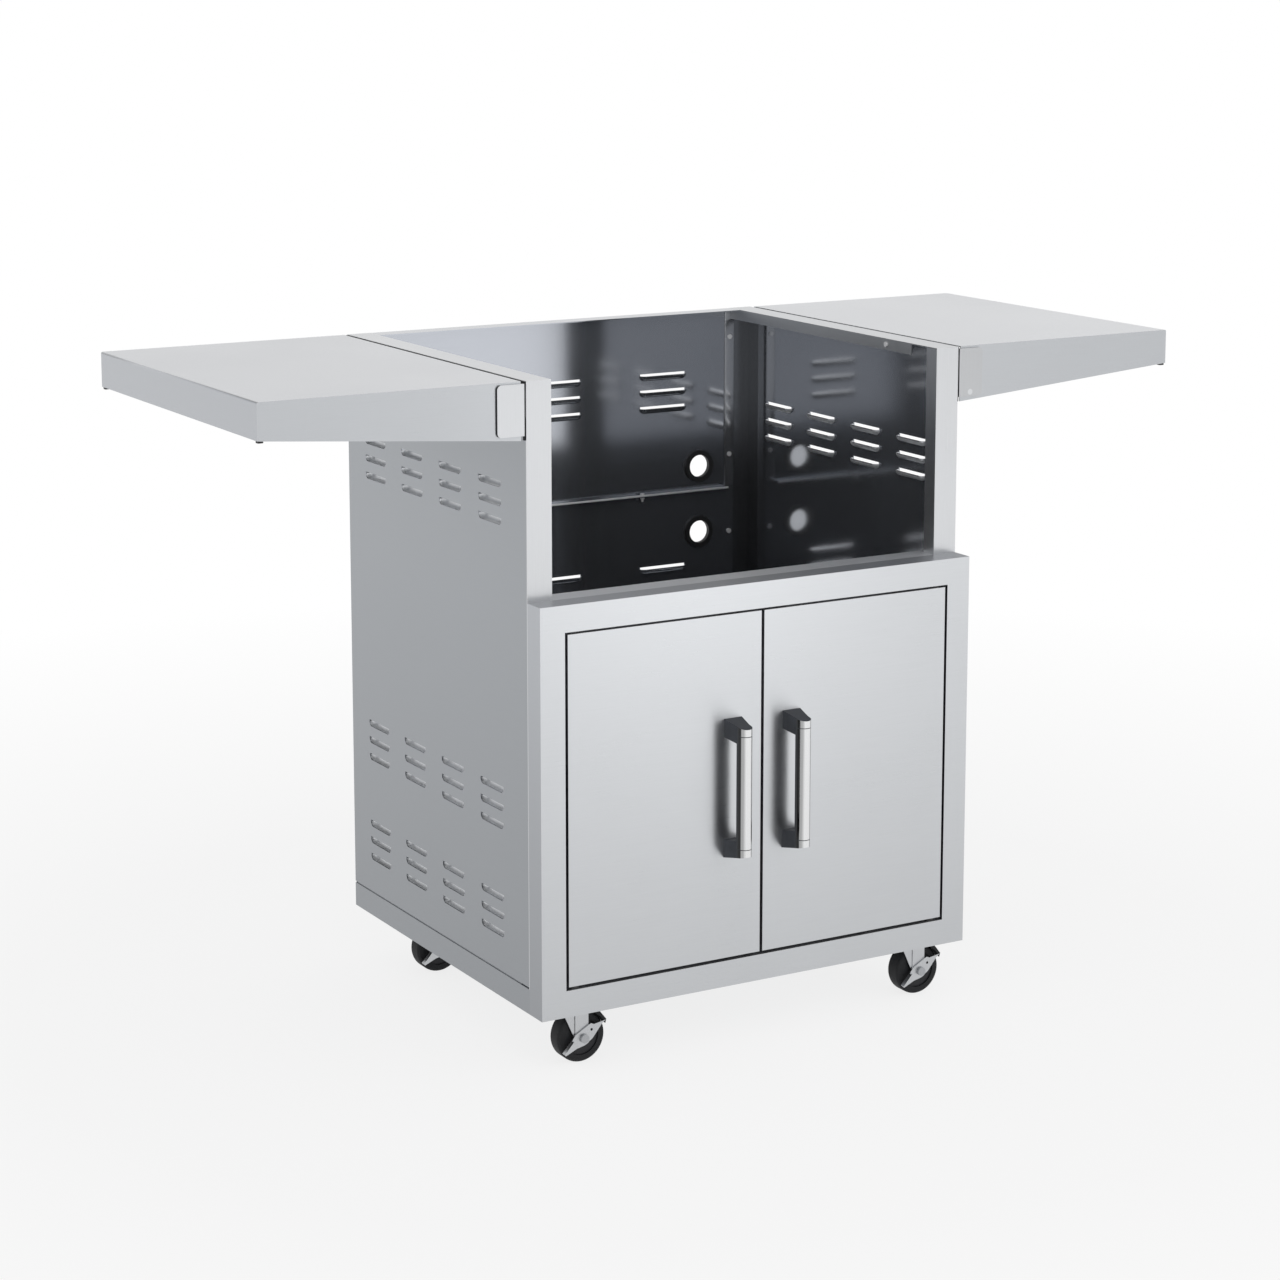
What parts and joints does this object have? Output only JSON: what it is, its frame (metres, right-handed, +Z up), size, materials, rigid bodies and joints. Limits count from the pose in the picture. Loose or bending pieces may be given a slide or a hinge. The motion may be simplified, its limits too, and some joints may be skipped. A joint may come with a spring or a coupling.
{
  "type": "grill cart",
  "caption": "Stainless cabinet cart for a drop-in grill head, with a pair of front doors, fold-down side shelves, louvred panels and braked swivel casters.",
  "frame": {"origin": "on the floor, at the middle of the bounding box", "axes": "+X to the right seen from the front, +Y from the doors towards the back, +Z up"},
  "size_m": [1.402, 0.614, 0.914],
  "materials": {
    "front_steel": "satin brushed stainless steel, vertical grain",
    "side_steel": "satin brushed stainless steel",
    "inner_steel": "smoother stainless steel of the cabinet's inside",
    "shelf_steel": "satin brushed stainless steel, grain along the shelf",
    "cabinet_steel": "satin brushed stainless steel",
    "polished_bar": "fine satin chrome",
    "dark_casting": "anthracite satin paint",
    "tyre_rubber": "black hard rubber",
    "hub_plastic": "black moulded plastic",
    "black_rubber": "black rubber",
    "zinc_plate": "bright zinc plating",
    "fastener_steel": "bright screw steel",
    "bush_plastic": "black acetal",
    "magnet_plastic": "dark grey plastic over a magnet"
  },
  "bodies": {
    "cabinet": {"base_pan": "side_steel", "left_side_panel": "side_steel", "right_side_panel": "side_steel", "left_front_post": "cabinet_steel", "right_front_post": "cabinet_steel", "left_rear_post": "cabinet_steel", "right_rear_post": "cabinet_steel", "left_top_ledge": "cabinet_steel", "right_top_ledge": "cabinet_steel", "rear_upper_panel": "inner_steel", "rear_lower_panel": "inner_steel", "hose_grommets": "black_rubber", "front_door_frame": "front_steel", "front_top_rail": "cabinet_steel", "door_hinge_bushes": "bush_plastic", "door_magnet_catches": "magnet_plastic", "panel_screws": "fastener_steel", "rear_seam_bolts": "fastener_steel", "left_shelf_bracket": "cabinet_steel", "right_shelf_bracket": "cabinet_steel", "shelf_pivot_pins": "fastener_steel", "caster_top_plates": "zinc_plate", "caster_kingpins": "zinc_plate", "caster_plate_bolts": "zinc_plate"},
    "left_door": {"left_door_skin": "front_steel", "left_door_liner": "cabinet_steel", "left_door_hinge_pins": "fastener_steel", "left_handle_bar": "polished_bar", "left_handle_body": "dark_casting"},
    "right_door": {"right_door_skin": "front_steel", "right_door_liner": "cabinet_steel", "right_door_hinge_pins": "fastener_steel", "right_handle_bar": "polished_bar", "right_handle_body": "dark_casting"},
    "left_shelf": {"left_shelf_pan": "shelf_steel", "left_shelf_stiffener": "cabinet_steel", "left_shelf_bumpers": "black_rubber"},
    "right_shelf": {"right_shelf_pan": "shelf_steel", "right_shelf_stiffener": "cabinet_steel", "right_shelf_bumpers": "black_rubber"},
    "front_left_caster_swivel": {"front_left_caster_fork": "zinc_plate", "front_left_caster_axle": "zinc_plate"},
    "front_left_caster_wheel": {"front_left_caster_tyre": "tyre_rubber", "front_left_caster_hub": "hub_plastic"},
    "front_left_caster_brake": {"front_left_caster_brake_lever": "zinc_plate"},
    "front_right_caster_swivel": {"front_right_caster_fork": "zinc_plate", "front_right_caster_axle": "zinc_plate"},
    "front_right_caster_wheel": {"front_right_caster_tyre": "tyre_rubber", "front_right_caster_hub": "hub_plastic"},
    "front_right_caster_brake": {"front_right_caster_brake_lever": "zinc_plate"},
    "rear_left_caster_swivel": {"rear_left_caster_fork": "zinc_plate", "rear_left_caster_axle": "zinc_plate"},
    "rear_left_caster_wheel": {"rear_left_caster_tyre": "tyre_rubber", "rear_left_caster_hub": "hub_plastic"},
    "rear_left_caster_brake": {"rear_left_caster_brake_lever": "zinc_plate"},
    "rear_right_caster_swivel": {"rear_right_caster_fork": "zinc_plate", "rear_right_caster_axle": "zinc_plate"},
    "rear_right_caster_wheel": {"rear_right_caster_tyre": "tyre_rubber", "rear_right_caster_hub": "hub_plastic"},
    "rear_right_caster_brake": {"rear_right_caster_brake_lever": "zinc_plate"}
  },
  "joints": [
    {"name": "left_door_hinge", "type": "hinge", "parent": "cabinet", "child": "left_door", "pos_m": [-0.283, -0.258, 0.35], "axis": [0, 0, -1], "range_deg": [0, 110]},
    {"name": "right_door_hinge", "type": "hinge", "parent": "cabinet", "child": "right_door", "pos_m": [0.283, -0.258, 0.35], "axis": [0, 0, 1], "range_deg": [0, 110]},
    {"name": "left_shelf_fold", "type": "hinge", "parent": "cabinet", "child": "left_shelf", "pos_m": [-0.356, 0.037, 0.85], "axis": [0, -1, 0], "range_deg": [0, 90]},
    {"name": "right_shelf_fold", "type": "hinge", "parent": "cabinet", "child": "right_shelf", "pos_m": [0.356, 0.037, 0.85], "axis": [0, 1, 0], "range_deg": [0, 90]},
    {"name": "front_left_swivel", "type": "hinge", "parent": "cabinet", "child": "front_left_caster_swivel", "pos_m": [-0.27, -0.226, 0.09], "axis": [0, 0, 1], "continuous": true},
    {"name": "front_left_roll", "type": "hinge", "parent": "front_left_caster_swivel", "child": "front_left_caster_wheel", "pos_m": [-0.261, -0.226, 0.035], "axis": [0, 1, 0], "continuous": true},
    {"name": "front_left_brake", "type": "hinge", "parent": "front_left_caster_swivel", "child": "front_left_caster_brake", "pos_m": [-0.261, -0.226, 0.035], "axis": [0, 1, 0], "range_deg": [0, 18]},
    {"name": "front_right_swivel", "type": "hinge", "parent": "cabinet", "child": "front_right_caster_swivel", "pos_m": [0.27, -0.226, 0.09], "axis": [0, 0, 1], "continuous": true},
    {"name": "front_right_roll", "type": "hinge", "parent": "front_right_caster_swivel", "child": "front_right_caster_wheel", "pos_m": [0.279, -0.226, 0.035], "axis": [0, 1, 0], "continuous": true},
    {"name": "front_right_brake", "type": "hinge", "parent": "front_right_caster_swivel", "child": "front_right_caster_brake", "pos_m": [0.279, -0.226, 0.035], "axis": [0, 1, 0], "range_deg": [0, 18]},
    {"name": "rear_left_swivel", "type": "hinge", "parent": "cabinet", "child": "rear_left_caster_swivel", "pos_m": [-0.27, 0.195, 0.09], "axis": [0, 0, 1], "continuous": true},
    {"name": "rear_left_roll", "type": "hinge", "parent": "rear_left_caster_swivel", "child": "rear_left_caster_wheel", "pos_m": [-0.261, 0.195, 0.035], "axis": [0, 1, 0], "continuous": true},
    {"name": "rear_left_brake", "type": "hinge", "parent": "rear_left_caster_swivel", "child": "rear_left_caster_brake", "pos_m": [-0.261, 0.195, 0.035], "axis": [0, 1, 0], "range_deg": [0, 18]},
    {"name": "rear_right_swivel", "type": "hinge", "parent": "cabinet", "child": "rear_right_caster_swivel", "pos_m": [0.27, 0.195, 0.09], "axis": [0, 0, 1], "continuous": true},
    {"name": "rear_right_roll", "type": "hinge", "parent": "rear_right_caster_swivel", "child": "rear_right_caster_wheel", "pos_m": [0.279, 0.195, 0.035], "axis": [0, 1, 0], "continuous": true},
    {"name": "rear_right_brake", "type": "hinge", "parent": "rear_right_caster_swivel", "child": "rear_right_caster_brake", "pos_m": [0.279, 0.195, 0.035], "axis": [0, 1, 0], "range_deg": [0, 18]}
  ]
}
